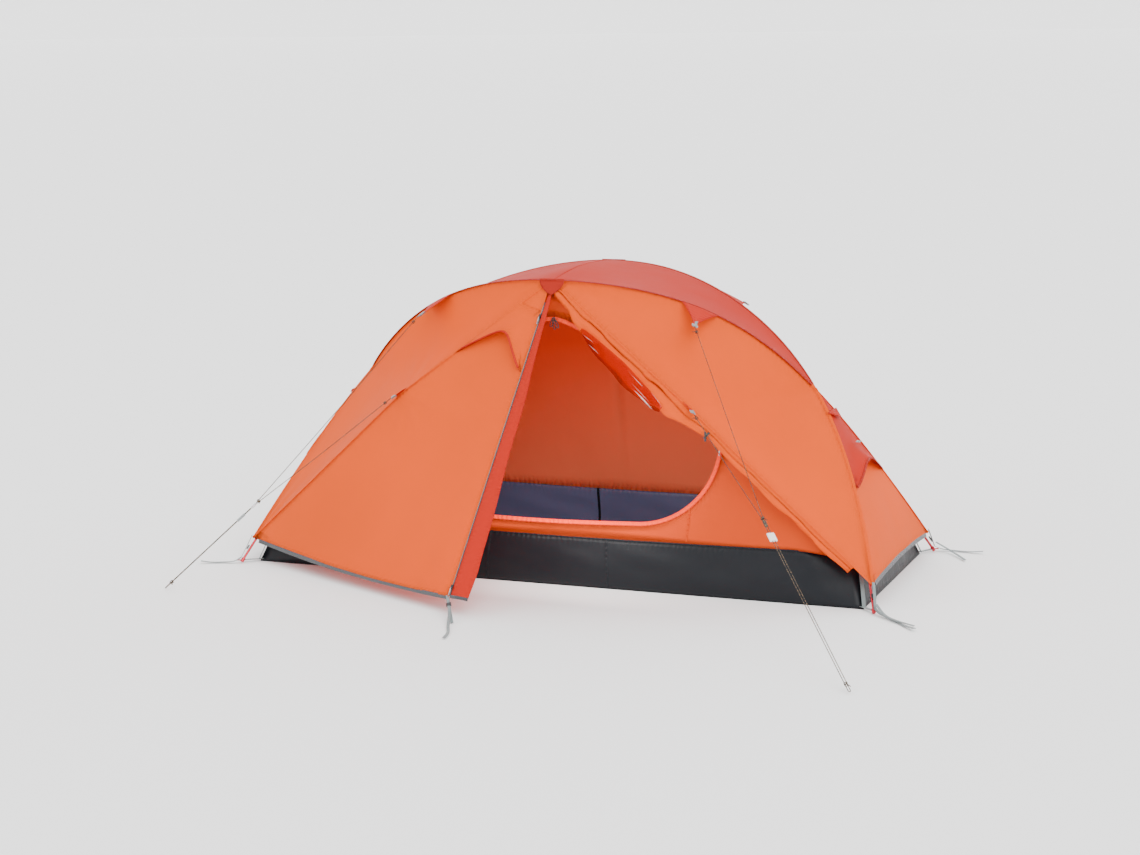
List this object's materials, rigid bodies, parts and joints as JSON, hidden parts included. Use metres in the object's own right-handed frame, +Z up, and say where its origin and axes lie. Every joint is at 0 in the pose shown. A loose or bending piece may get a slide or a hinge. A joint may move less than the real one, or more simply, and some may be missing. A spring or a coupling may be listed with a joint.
{
  "type": "tent on poles",
  "caption": "Low ridge tent on crossed bent poles: orange and red fly with its door rolled back, dark tub floor, hung inner tent, guylines with tensioners.",
  "frame": {"origin": "middle of the floor's underside, on the ground", "axes": "+X along the tent, -Y towards the door, +Z up"},
  "size_m": [2.5332, 1.9374, 1.049],
  "materials": {
    "fly_cloth_orange": "matt coated taffeta",
    "fly_cloth_red": "matt coated taffeta",
    "hem_binding": "woven tape",
    "tub_cloth": "coated, slight sheen",
    "inner_cloth": "thin woven",
    "inner_roof_cloth": "thin woven",
    "zip_piping": "woven tape",
    "webbing": "woven webbing",
    "black_plastic": "moulded",
    "grey_plastic": "moulded",
    "white_plastic": "moulded",
    "elastic": "braided",
    "cord": "braided",
    "pole_metal": "red anodised tube",
    "bare_metal": "brushed",
    "slider_metal": "lacquered",
    "pull_metal": "lacquered"
  },
  "bodies": {
    "tent": {"fly_front_upper_left": "fly_cloth_orange", "fly_front_upper_right": "fly_cloth_orange", "fly_back_upper_left": "fly_cloth_orange", "fly_back_upper_right": "fly_cloth_orange", "fly_vestibule_panel": "fly_cloth_orange", "fly_back_panel": "fly_cloth_orange", "fly_end_lower_left": "fly_cloth_orange", "fly_end_lower_right": "fly_cloth_orange", "fly_rolled_door": "fly_cloth_orange", "fly_vent_hoods": "fly_cloth_orange", "fly_ridge_panel": "fly_cloth_red", "fly_end_upper_left": "fly_cloth_red", "fly_end_upper_right": "fly_cloth_red", "fly_storm_flap": "fly_cloth_red", "fly_hem_bindings": "hem_binding", "fly_zip_tape": "hem_binding", "tub_floor": "tub_cloth", "tub_wall_front": "tub_cloth", "tub_wall_back": "tub_cloth", "tub_wall_left": "tub_cloth", "tub_wall_right": "tub_cloth", "inner_front_wall": "inner_cloth", "inner_front_slope": "inner_cloth", "inner_back_wall": "inner_cloth", "inner_back_slope": "inner_cloth", "inner_end_left": "inner_cloth", "inner_end_right": "inner_cloth", "inner_roof": "inner_roof_cloth", "inner_door_zip": "zip_piping", "guy_tabs": "webbing", "corner_straps": "webbing", "door_corner_strap": "webbing", "corner_buckles": "black_plastic", "pole_clips": "black_plastic", "guy_tab_buckles": "grey_plastic", "door_toggle_loop": "elastic", "pole_shock_cords": "elastic", "guyline_left_upper": "cord", "guyline_left_lower": "cord", "guyline_left_anchor": "cord", "guyline_right_upper": "cord", "guyline_right_lower": "cord", "guyline_right_anchor": "cord", "guy_knots": "cord", "pole_back_footed_sections": "pole_metal", "pole_front_footed_sections": "pole_metal", "ridge_pole": "pole_metal", "pole_feet": "pole_metal", "pole_ferrules": "bare_metal", "pole_tips": "bare_metal", "guy_ring": "bare_metal"},
    "lower_slider": {"fly_zip_slider_lower": "slider_metal"},
    "lower_pull": {"fly_zip_pull_lower": "pull_metal"},
    "upper_slider": {"fly_zip_slider_upper": "slider_metal"},
    "upper_pull": {"fly_zip_pull_upper": "pull_metal"},
    "inner_slider": {"inner_zip_slider": "slider_metal"},
    "inner_pull": {"inner_zip_pull": "pull_metal"},
    "toggle": {"door_toggle": "black_plastic"},
    "left_tensioner": {"guy_tensioner_left": "grey_plastic"},
    "right_tensioner": {"guy_tensioner_right": "white_plastic"}
  },
  "joints": [
    {"name": "fly_zip_lower_slide", "type": "slide", "parent": "tent", "child": "lower_slider", "axis": [0.1362, 0.4974, 0.8568], "range_m": [0, 0.45]},
    {"name": "fly_zip_upper_slide", "type": "slide", "parent": "tent", "child": "upper_slider", "axis": [-0.1362, -0.4974, -0.8568], "range_m": [0, 0.45]},
    {"name": "lower_pull_swing", "type": "hinge", "parent": "lower_slider", "child": "lower_pull", "pos_m": [-0.15236, -0.85589, 0.08681], "axis": [-0.9697, 0.2439, 0.0126], "range_deg": [0, 110]},
    {"name": "upper_pull_swing", "type": "hinge", "parent": "upper_slider", "child": "upper_pull", "pos_m": [-0.0203, -0.37366, 0.91751], "axis": [-0.9697, 0.2439, 0.0126], "range_deg": [0, 110]},
    {"name": "inner_zip_travel", "type": "hinge", "parent": "tent", "child": "inner_slider", "pos_m": [0.315, -0.35417, 0.52468], "axis": [0, -0.9946, 0.1034], "range_deg": [-80, 0]},
    {"name": "inner_pull_swing", "type": "hinge", "parent": "inner_slider", "child": "inner_pull", "pos_m": [0.612, -0.3624, 0.50063], "axis": [-0.9976, 0.0072, 0.0694], "range_deg": [0, 110]},
    {"name": "toggle_turn", "type": "hinge", "parent": "tent", "child": "toggle", "pos_m": [0.58596, -0.43593, 0.55166], "axis": [0, -1, 0], "range_deg": [-60, 60]},
    {"name": "left_tensioner_slide", "type": "slide", "parent": "tent", "child": "left_tensioner", "axis": [-0.6163, -0.4513, -0.6454], "range_m": [-0.02, 0.28]},
    {"name": "right_tensioner_slide", "type": "slide", "parent": "tent", "child": "right_tensioner", "axis": [0.5513, -0.6629, -0.5066], "range_m": [-0.02, 0.55]}
  ]
}
